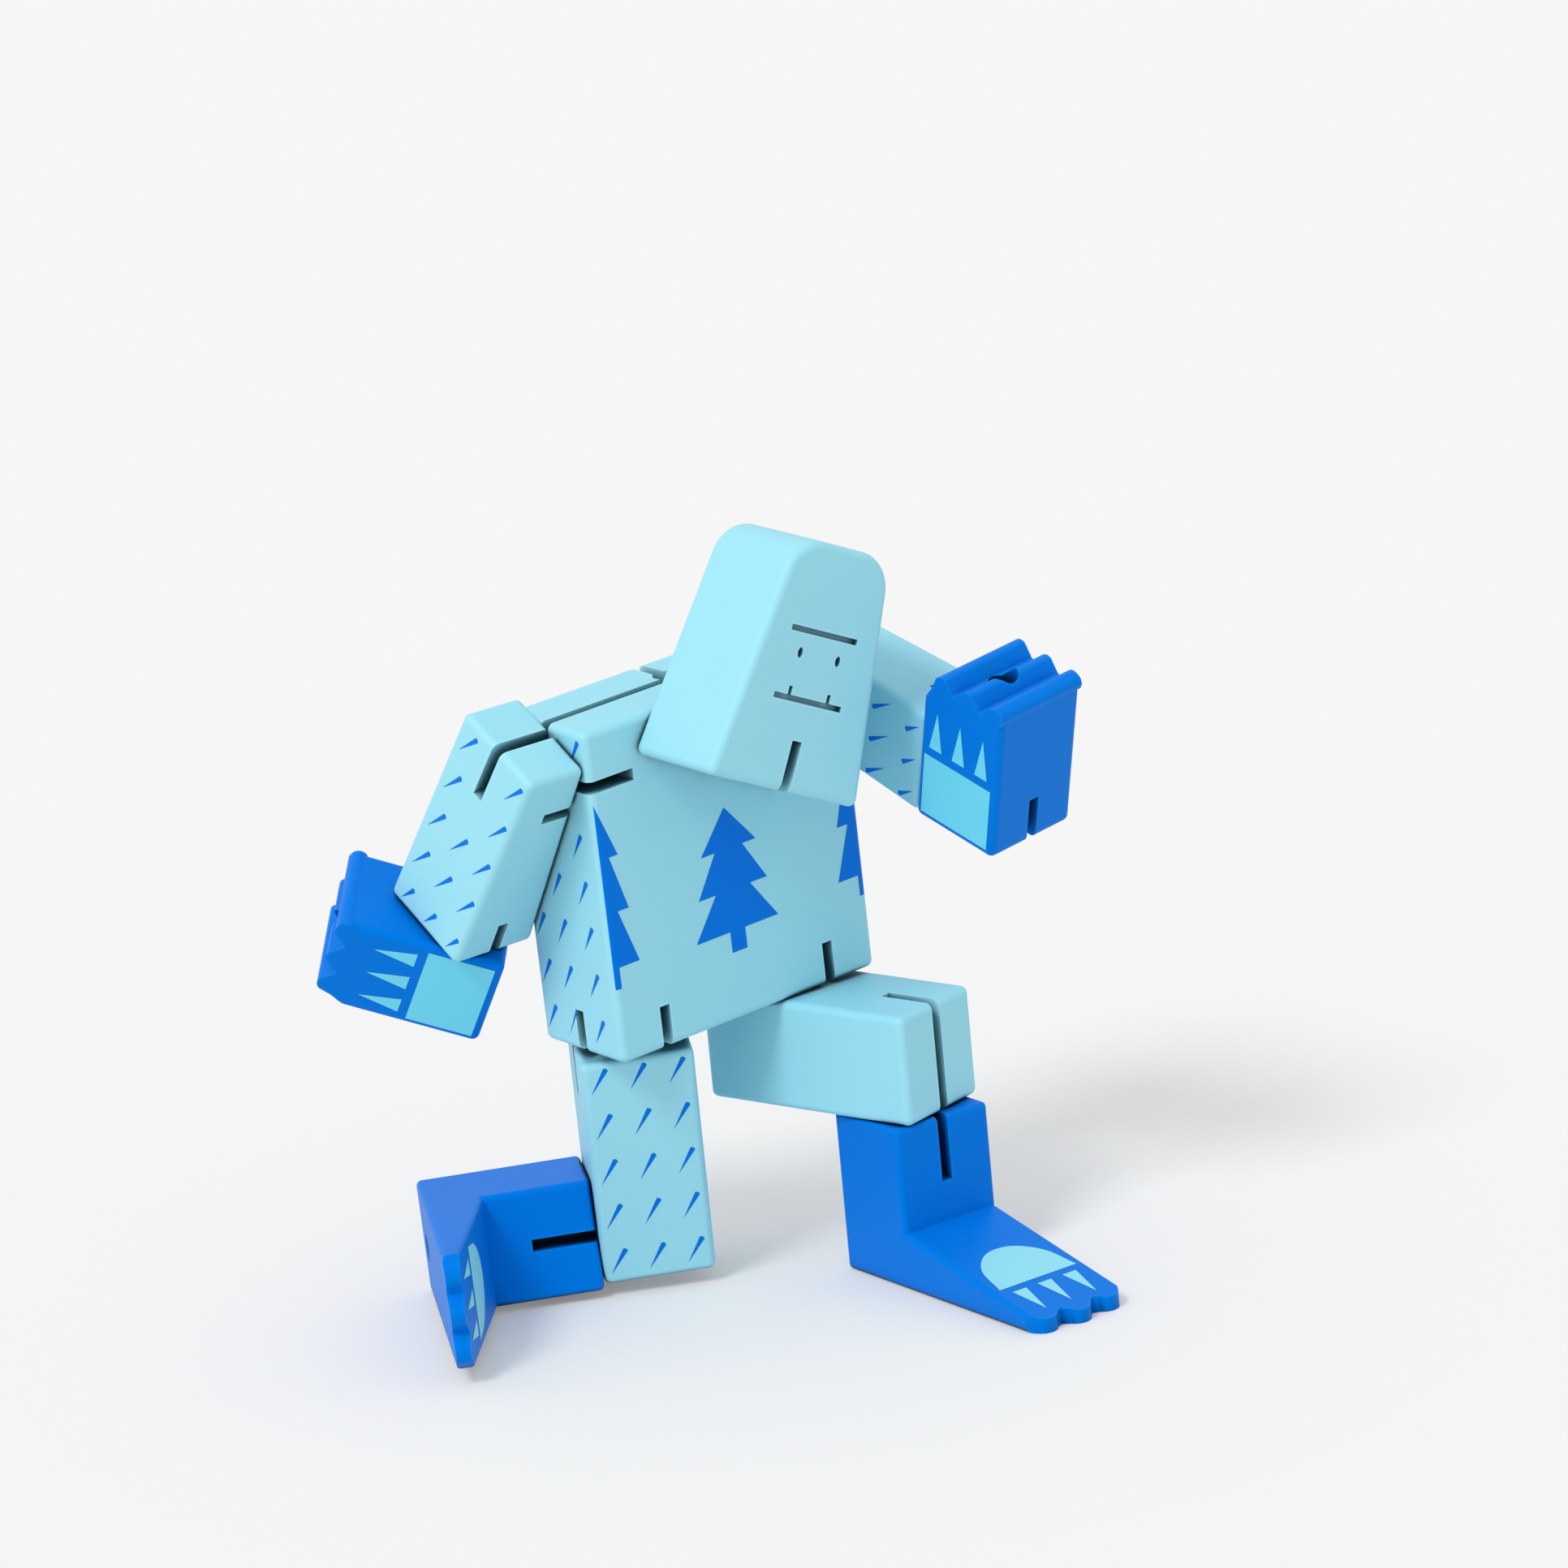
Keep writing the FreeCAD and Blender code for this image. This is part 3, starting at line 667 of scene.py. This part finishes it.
@dataclass
class Print:
    """Marks printed on one face of a block.

    Attributes:
        name: name of the piece.
        block: the block it is printed on.
        face: matrix from the face's own frame, in mm, to the block's frame, in mm.
        outlines: the closed outlines.
        slot: the paint.
        cuts: where the mesh is cut up and down, in mm across.
    """
    name: str
    block: str
    face: Matrix
    outlines: list[Outline]
    slot: Slot
    cuts: tuple[float, ...] = ()

    def _score(self, obj: bpy.types.Object) -> None:
        """Cuts the mesh along straight lines, so that it can wrap over a rounded edge.

        Args:
            obj: the print.
        """
        make_active(obj)
        for across in self.cuts:
            bpy.ops.object.mode_set(mode="EDIT")
            bpy.ops.mesh.select_all(action="SELECT")
            bpy.ops.mesh.bisect(plane_co=(across, 0, 0), plane_no=(1, 0, 0))
            bpy.ops.object.mode_set(mode="OBJECT")

    def build(self, place: Matrix, material: bpy.types.Material) -> bpy.types.Object:
        """Lays the print on its block.

        Args:
            place: the block's place.
            material: the print's finish.

        Returns:
            The print, riding on the block.
        """
        curve = bpy.data.curves.new(self.name, "CURVE")
        curve.dimensions = "2D"
        curve.fill_mode = "BOTH"
        curve.resolution_u = OUTLINE_RESOLUTION
        for outline in self.outlines:
            outline.draw(curve)
        obj = to_mesh(curve, self.name)
        self._score(obj)
        obj.data.transform(place @ Matrix.Scale(MM, 4) @ self.face)
        wrap = obj.modifiers.new("lie_on_block", "SHRINKWRAP")
        wrap.target = frame["nodes"][self.block]
        wrap.wrap_method = "NEAREST_SURFACEPOINT"
        wrap.wrap_mode = "ABOVE_SURFACE"
        wrap.offset = PRINT_LIFT
        make_active(obj)
        bpy.ops.object.modifier_apply(modifier=wrap.name)
        set_material(obj, material)
        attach(obj, self.block)
        return obj


def face_frame(origin: Point, across: Point, up: Point) -> Matrix:
    """Frame of a face, whose normal is across x up.

    Args:
        origin: the face's origin in its block, in mm.
        across: the face's first direction.
        up: the face's second direction.

    Returns:
        The matrix from the face's frame to the block's.
    """
    u, v = Vector(across), Vector(up)
    turn = Matrix((u, v, u.cross(v))).transposed().to_4x4()
    return Matrix.Translation(Vector(origin)) @ turn


def side_face(side: Side, half_width: float, lean: float = 0.0) -> Matrix:
    """The outer side of a block; `across` runs to the front on the right side and back on the left.

    Args:
        side: which side.
        half_width: distance from the block's middle.
        lean: its lean, in radians.

    Returns:
        The matrix from the face's frame to the block's.
    """
    up = (side.value * math.sin(lean), 0, math.cos(lean))
    return face_frame((-side.value * half_width, 0, 0), (0, -side.value, 0), up)


# --- printed marks -----------------------------------------------------------------------------------
@dataclass
class Fur:
    """Short tapered ticks in rows and columns, leaning to the front as they rise.

    Attributes:
        columns: distance of each column's pointed ends in front of the block's middle.
        rows: heights of the pointed ends.
        skipped: (column, row) pairs with no tick, where a kerf is.
        low: lowest height of the block's flat face.
    """
    columns: tuple[float, ...]
    rows: tuple[float, ...]
    skipped: tuple[tuple[int, int], ...] = ()
    low: float = -1000.0
    run: float = 3.6
    rise: float = 5.7
    width: float = 1.15

    def outlines(self, side: Side) -> list[Outline]:
        """Every tick as an outline on the block's outer side.

        Args:
            side: which side.

        Returns:
            The outlines.
        """
        found = []
        length = math.hypot(self.run, self.rise)
        ahead = Vector((self.run, self.rise)) / length
        beside = Vector((ahead.y, -ahead.x)) * (self.width / 2)
        for c, column in enumerate(self.columns):
            for r, row in enumerate(self.rows):
                if (c, r) in self.skipped:
                    continue
                cut = max(0.0, self.low - row) / self.rise * length
                start, end = Vector((column, row)) + ahead * cut, Vector((column, row)) + ahead * length
                neck = end - ahead * 0.25
                shape = [(start, False), (neck - beside, False), (end, True), (neck + beside, False)]
                found.append(Outline([(p.x * side.value, p.y, kind) for p, kind in shape]))
        return found


@dataclass
class Conifer:
    """A plain conifer of straight-sided tiers on a short trunk.

    Attributes:
        middle: x of its trunk line.
        base: height of the trunk's foot.
        crown: height of its top.
        spread: half the width of its lowest tier.
        tiers: how many tiers it has.
        trunk: half the trunk's width.
        stem: height of the trunk.
    """
    middle: float = -0.9
    base: float = 14.8
    crown: float = 46.4
    spread: float = 11.0
    tiers: int = 3
    trunk: float = 2.0
    stem: float = 4.6

    def half(self) -> list[Corner]:
        """The outline on one side of the trunk line.

        Returns:
            Points from the top down, with `across` measured from the trunk line.
        """
        points = [(0.0, self.crown, False)]
        step = (self.crown - self.base - self.stem) / self.tiers
        for n in range(1, self.tiers + 1):
            reach = self.spread * (self.tiers + n) / (2 * self.tiers)
            inner = self.trunk if n == self.tiers else reach / 2
            points += [(reach, self.crown - step * n, False), (inner, self.crown - step * n, False)]
        return points + [(self.trunk, self.base, False)]

    def outlines(self) -> list[Outline]:
        """The whole tree.

        Returns:
            Its one outline.
        """
        half = self.half()
        other = [(-x, z, kind) for x, z, kind in reversed(half[1:])]
        return [Outline(half + other).moved(self.middle, 0)]

    def cut_by_edge(self, side: Side) -> list[Outline]:
        """Half the tree, with its trunk line along the chest's edge on one side.

        Args:
            side: which edge.

        Returns:
            Its one outline.
        """
        points = [(self.middle - x, z, kind) for x, z, kind in self.half()]
        points.append((self.middle, self.base, False))
        return [Outline(points).scaled(-side.value, 1)]


@dataclass
class Claws:
    """Plain pointed claws in a row, clear of a pale field with a straight front edge.

    Attributes:
        field: the field's outline.
        base: height of the claws' bases.
        tip: height of their points.
        pitch: distance from one claw to the next.
        width: width of a claw at its base.
    """
    field: tuple[Corner, ...]
    base: float
    tip: float
    pitch: float = 6.6
    width: float = 3.6

    def outlines(self) -> list[Outline]:
        """The field and the claws, with tips up.

        Returns:
            The outlines.
        """
        half = self.width / 2
        claw = Outline([(-half, self.base, False), (0, self.tip, False), (half, self.base, False)])
        return [Outline(list(self.field))] + [claw.moved(self.pitch * n, 0) for n in (-1, 0, 1)]


# --- cords and knots ---------------------------------------------------------------------------------
def tube(name: str, points: list[Vector], bend: float) -> bpy.types.Object:
    """A round cord along straight runs joined by bends.

    Args:
        name: the piece's name.
        points: the corners of its route, in metres.
        bend: radius of the bends, in mm.

    Returns:
        The cord as a mesh.
    """
    route = [points[0]]
    for before, here, after in zip(points, points[1:], points[2:]):
        back, ahead = (before - here).normalized(), (after - here).normalized()
        half = back.angle(ahead) / 2
        reach = bend * MM / math.tan(half)
        centre = here + (back + ahead).normalized() * (bend * MM / math.sin(half))
        first, last = here + back * reach, here + ahead * reach
        for n in range(BEND_STEPS + 1):
            spoke = (first - centre).lerp(last - centre, n / BEND_STEPS).normalized()
            route.append(centre + spoke * (bend * MM))
    route.append(points[-1])
    dense = [route[0]]
    for a, b in zip(route, route[1:]):
        count = max(1, math.ceil((b - a).length / RUN_STEP))
        dense += [a.lerp(b, (n + 1) / count) for n in range(count)]
    curve = bpy.data.curves.new(name, "CURVE")
    curve.dimensions = "3D"
    curve.bevel_depth = CORD_RADIUS
    curve.bevel_resolution = BEVEL_RESOLUTION
    curve.use_fill_caps = True
    spline = curve.splines.new("POLY")
    spline.points.add(len(dense) - 1)
    for point, where in zip(spline.points, dense):
        point.co = (*where, 1)
    obj = to_mesh(curve, name)
    make_active(obj)
    bpy.ops.object.shade_smooth()
    return obj


def knot(name: str, middle: Vector, turn: Matrix) -> bpy.types.Object:
    """An overhand knot of 5 mm at a cord's end.

    Args:
        name: the piece's name.
        middle: the knot's middle, in metres.
        turn: the block's rotation.

    Returns:
        The knot as a mesh.
    """
    curve = bpy.data.curves.new(name, "CURVE")
    curve.dimensions = "3D"
    curve.bevel_depth = KNOT_STRAND
    curve.bevel_resolution = BEVEL_RESOLUTION
    spline = curve.splines.new("POLY")
    spline.points.add(KNOT_POINTS - 1)
    spline.use_cyclic_u = True
    for n, point in enumerate(spline.points):
        a = math.tau * n / KNOT_POINTS
        loop = Vector((math.sin(a) + 2 * math.sin(2 * a), math.cos(a) - 2 * math.cos(2 * a),
                       -1.5 * math.sin(3 * a)))
        point.co = (*(middle + turn @ (loop * KNOT_SCALE)), 1)
    obj = to_mesh(curve, name)
    make_active(obj)
    bpy.ops.object.shade_smooth()
    return obj


class Block:
    """One wooden block with its prints and the cord inside it."""

    slot = Slot.LIGHT
    finish = LIGHT_PAINT
    pale = PRINT_PALE

    def __init__(self, name: str, place: Matrix) -> None:
        """Keeps the block's name and place."""
        self.name = name
        self.place = place

    def prints(self) -> list[Print]:
        """The prints on the block."""
        return []

    def cord_route(self) -> Route:
        """Corners of the cord after it enters the block, in mm, and the radius of its bends."""
        return [], 0.0

    def joint(self) -> str:
        """Name of the joint where the cord enters the block."""
        return ""

    def at(self, point: Point) -> Vector:
        """A point of the block, in the scene."""
        return self.place @ (Vector(point) * MM)

    def build(self, materials: MaterialFactory, elastic: bpy.types.Material) -> None:
        """Paints the block, prints it and strings it.

        Args:
            materials: makes the finishes.
            elastic: the finish of the cord.
        """
        node = frame["nodes"][self.name]
        set_material(node, materials.paint(f"{self.name}_paint", self.finish, self.place))
        for item in self.prints():
            finish = PRINT_BLUE if item.slot is Slot.DARK else self.pale
            item.build(self.place, materials.paint(f"{item.name}_paint", finish, self.place))
        self._string(elastic)

    def _string(self, elastic: bpy.types.Material) -> None:
        """Draws the cord inside the block.

        Args:
            elastic: the finish of the cord.
        """
        route, bend = self.cord_route()
        if not route:
            return
        start = joint_point(self.joint())
        inside = self.at(route[0])
        ahead = (inside - start).normalized()
        points = [start + ahead * CORD_START, *(self.at(p) for p in route)]
        obj = tube(f"{self.name}_elastic", points, bend)
        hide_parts(f"{self.name}_link", f"{self.name}_cord")
        set_material(obj, elastic)
        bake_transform(obj)


class Torso(Block):
    """The torso, with a conifer on the chest, half conifers at its edges and fur on its sides."""

    def prints(self) -> list[Print]:
        """A conifer, two half conifers and fur on both sides.

        Returns:
            The prints.
        """
        front = face_frame((0, -SIZES.torso_depth / 2, 0), (1, 0, 0), (0, 0, 1))
        found = [Print("chest_conifer", "torso", front, Conifer().outlines(), Slot.DARK)]
        fur = Fur((-11.4, -4.2, 4.6), (3.0, 13.2, 23.5, 33.6, 43.8), ((0, 3), (0, 4)), EDGE_ROUND)
        high = Fur((7.4,), (64.6,), (), EDGE_ROUND)
        edge_tree = Conifer(middle=33.9, base=16.4, crown=56.8, spread=7.0, trunk=1.6)
        for side in Side:
            bough = edge_tree.cut_by_edge(side)
            cuts = tuple(-side.value * (32.7 + 0.2 * n) for n in range(6))
            found.append(Print(f"chest_bough_{side.word}", "torso", front, bough, Slot.DARK, cuts))
            face = side_face(side, SIZES.torso_width / 2)
            marks = fur.outlines(side) + high.outlines(side)
            found.append(Print(f"torso_fur_{side.word}", "torso", face, marks, Slot.DARK))
        return found


class Head(Block):
    """The head, with its face sawn and drilled in the wood."""

    def joint(self) -> str:
        """The neck."""
        return "neck_turn"

    def cord_route(self) -> Route:
        """Up from the neck to the peg."""
        return [(0, 0, 9.0), (0, 0, 19.0)], 3.0


class Arm(Block):
    """An arm with fur on its outer side."""

    def __init__(self, side: Side) -> None:
        """Places the arm."""
        super().__init__(f"arm_{side.word}", arm_place(side))
        self.side = side

    def joint(self) -> str:
        """The shoulder."""
        return f"shoulder_{self.side.word}_turn"

    def cord_route(self) -> Route:
        """From the shoulder down the arm's middle, then to the wrist.

        Returns:
            The corners and the bend.
        """
        wrist = self.place.inverted() @ joint_point(f"wrist_{self.side.word}_turn") / MM
        end = (wrist.x, wrist.y, 0.3 - SIZES.arm_length)
        return [(0, 0, -11.8), (0, 0, 9.0 - SIZES.arm_length), end], 2.6

    def prints(self) -> list[Print]:
        """Three columns of fur; the middle one starts below the kerf.

        Returns:
            The one print.
        """
        face = side_face(self.side, SIZES.arm_top / 2, SIZES.taper)
        rows = tuple(-8.1 - 10.5 * n for n in range(5))
        fur = Fur((-9.2, -1.3, 6.5), rows, ((1, 0), (1, 1)), 1.8 - SIZES.arm_length)
        return [Print(f"{self.name}_fur", self.name, face, fur.outlines(self.side), Slot.DARK)]


class Hand(Block):
    """A hand with claws printed on its front."""

    slot = Slot.DARK
    finish = DARK_PAINT

    def __init__(self, side: Side) -> None:
        """Places the hand."""
        super().__init__(f"hand_{side.word}", hand_place(side))
        self.side = side

    def joint(self) -> str:
        """The wrist."""
        return f"wrist_{self.side.word}_turn"

    def cord_route(self) -> Route:
        """From the wrist up to the knot."""
        return [(0, 0, 8.9), (0, 0, 25.0)], 3.0

    def prints(self) -> list[Print]:
        """A pale palm field and three claws.

        Returns:
            The one print.
        """
        field = ((-9.6, 16.0, False), (-9.6, 1.7, False), (9.6, 1.7, False), (9.6, 16.0, False))
        claws = Claws(field, 18.0, 27.0)
        face = face_frame((0, -SIZES.hand_depth / 2, 0), (1, 0, 0), (0, 0, 1))
        marks = [o.scaled(self.side.value, 1) for o in claws.outlines()]
        return [Print(f"{self.name}_claws", self.name, face, marks, Slot.LIGHT)]


class Thigh(Block):
    """A thigh with fur on its outer side."""

    def __init__(self, side: Side) -> None:
        """Places the thigh."""
        super().__init__(f"thigh_{side.word}", thigh_place(side))
        self.side = side

    def joint(self) -> str:
        """The hip."""
        return f"hip_{self.side.word}_turn"

    def cord_route(self) -> Route:
        """From the hip down the thigh's middle, then out at the knee.

        Returns:
            The corners and the bend.
        """
        high = 9.0 if self.side is Side.RIGHT else 11.4
        knee = (0, SIZES.thigh_depth / 2 - 0.2, KNEE_PIVOT)
        return [(0, 0, SIZES.thigh_length - high), (0, 0, KNEE_PIVOT), knee], 3.6

    def prints(self) -> list[Print]:
        """Three columns of fur.

        Returns:
            The one print.
        """
        face = side_face(self.side, SIZES.leg_width / 2)
        fur = Fur((-10.3, -2.1, 6.1), tuple(2.7 + 10.8 * n for n in range(5)), (), EDGE_ROUND)
        return [Print(f"{self.name}_fur", self.name, face, fur.outlines(self.side), Slot.DARK)]


class LowerLeg(Block):
    """A shin and foot with claws printed on the foot."""

    slot = Slot.DARK
    finish = DARK_PAINT
    pale = FOOT_PALE

    def __init__(self, side: Side) -> None:
        """Places the lower leg."""
        super().__init__(f"lower_leg_{side.word}", lower_leg_place(side))
        self.side = side

    def joint(self) -> str:
        """The knee."""
        return f"knee_{self.side.word}_turn"

    def cord_route(self) -> Route:
        """Straight down to the knot in the sole."""
        return [(0, 0, 6.0)], 0.0

    def prints(self) -> list[Print]:
        """A pale field on the instep and three claws on the toes.

        Returns:
            The one print.
        """
        run = SIZES.foot_length - SIZES.shin_depth
        fall = SIZES.instep_height - SIZES.toe_thickness
        slope = math.atan(fall / run)
        up = (0, math.cos(slope), math.sin(slope))
        face = face_frame((0, -SIZES.shin_depth / 2, SIZES.instep_height), (1, 0, 0), up)
        field = ((-10.2, 29.0, False), (-7.2, 19.0, True), (0, 15.0, True), (7.2, 19.0, True),
                 (10.2, 29.0, False))
        claws = Claws(field, 31.0, 40.0)
        mirror = -self.side.value
        marks = [o.scaled(mirror, -1) for o in claws.outlines()]
        return [Print(f"{self.name}_claws", self.name, face, marks, Slot.LIGHT)]


class Figure:
    """The whole figure."""

    def __init__(self) -> None:
        """Collects the blocks."""
        self.materials = MaterialFactory()
        self.blocks: list[Block] = [Torso("torso", torso_place()), Head("head", head_place())]
        for side in Side:
            self.blocks += [Arm(side), Hand(side), Thigh(side), LowerLeg(side)]

    def build(self) -> None:
        """Paints, prints and strings every block, and ties the knots."""
        elastic = self.materials.elastic()
        for block in self.blocks:
            block.build(self.materials, elastic)
            self._check_place(block)
            if isinstance(block, Hand):
                self._tie(block, HAND_KNOT, elastic)
            elif isinstance(block, LowerLeg):
                self._tie(block, FOOT_KNOT, elastic)
        for name in ("torso_arm_cord", "torso_leg_cord", "torso_neck_cord"):
            set_material(frame["nodes"][name], elastic)
        dowel = self.materials.peg()
        for name in ("torso_neck_peg", "head_peg"):
            set_material(frame["nodes"][name], dowel)

    @staticmethod
    def _tie(block: Block, middle: Point, elastic: bpy.types.Material) -> None:
        """Ties the knot at the end of a block's cord.

        Args:
            block: the block.
            middle: the knot's middle in the block, in mm.
            elastic: the finish of the cord.
        """
        obj = knot(f"{block.name}_end_knot", block.at(middle), block.place.to_3x3())
        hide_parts(f"{block.name}_knot")
        set_material(obj, elastic)
        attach(obj, block.name)

    @staticmethod
    def _check_place(block: Block) -> None:
        """Logs the block's extent in its own frame, in mm.

        Args:
            block: the block.
        """
        inverse = block.place.inverted()
        corners = [inverse @ v.co / MM for v in frame["nodes"][block.name].data.vertices]
        low = [round(min(c[i] for c in corners), 2) for i in range(3)]
        high = [round(max(c[i] for c in corners), 2) for i in range(3)]
        log.info("%s reaches from %s to %s", block.name, low, high)


class Studio:
    """Floor, light and camera."""

    def __init__(self, materials: MaterialFactory) -> None:
        """Keeps the materials for the floor."""
        self.materials = materials

    def build(self) -> None:
        """Lays the floor, and sets up the light and the camera."""
        self._floor()
        self._light()
        self._camera()
        bpy.context.scene.view_settings.view_transform = "Standard"

    def _floor(self) -> None:
        """A wide pale floor under the figure."""
        bpy.ops.object.select_all(action="DESELECT")
        bpy.ops.mesh.primitive_plane_add(size=14.0, location=(0, 0, 0))
        floor = bpy.context.active_object
        floor.name = "floor"
        floor.data.materials.append(self.materials.backdrop())

    def _light(self) -> None:
        """Even light all round, and a soft key from the upper left."""
        world = bpy.data.worlds.new("soft_room")
        world.use_nodes = True
        shade = world.node_tree.nodes["Background"]
        shade.inputs["Color"].default_value = (1.0, 1.0, 1.0, 1.0)
        shade.inputs["Strength"].default_value = 0.83
        bpy.context.scene.world = world
        self._sun("key", Vector((-0.64, -0.16, 0.75)), 1.4, 18.0)

    @staticmethod
    def _sun(name: str, towards: Vector, strength: float, angle: float) -> None:
        """A distant lamp.

        Args:
            name: its name.
            towards: direction from the figure to the lamp.
            strength: its strength.
            angle: its apparent size in degrees.
        """
        lamp = bpy.data.lights.new(name, "SUN")
        lamp.energy = strength
        lamp.angle = math.radians(angle)
        obj = bpy.data.objects.new(name, lamp)
        bpy.context.scene.collection.objects.link(obj)
        obj.rotation_euler = towards.to_track_quat("Z", "Y").to_euler()

    @staticmethod
    def _camera() -> None:
        """A long lens, a little above the figure and to its right."""
        data = bpy.data.cameras.new("camera")
        data.lens = 158.4
        data.sensor_width = 36.0
        data.clip_end = 50.0
        forward = Vector((0.5923, 0.7586, -0.2715)).normalized()
        right = forward.cross(Vector((0.2408, 0.1550, 0.9581))).normalized()
        turn = Matrix((right, right.cross(forward), -forward)).transposed()
        camera = bpy.data.objects.new("camera", data)
        bpy.context.scene.collection.objects.link(camera)
        camera.matrix_world = Matrix.Translation((-0.8232, -1.0865, 0.4956)) @ turn.to_4x4()
        bpy.context.scene.camera = camera


def main() -> None:
    """Builds the figure and its studio."""
    logging.basicConfig(level=logging.INFO)
    figure = Figure()
    figure.build()
    Studio(figure.materials).build()


if __name__ == "__main__":
    main()
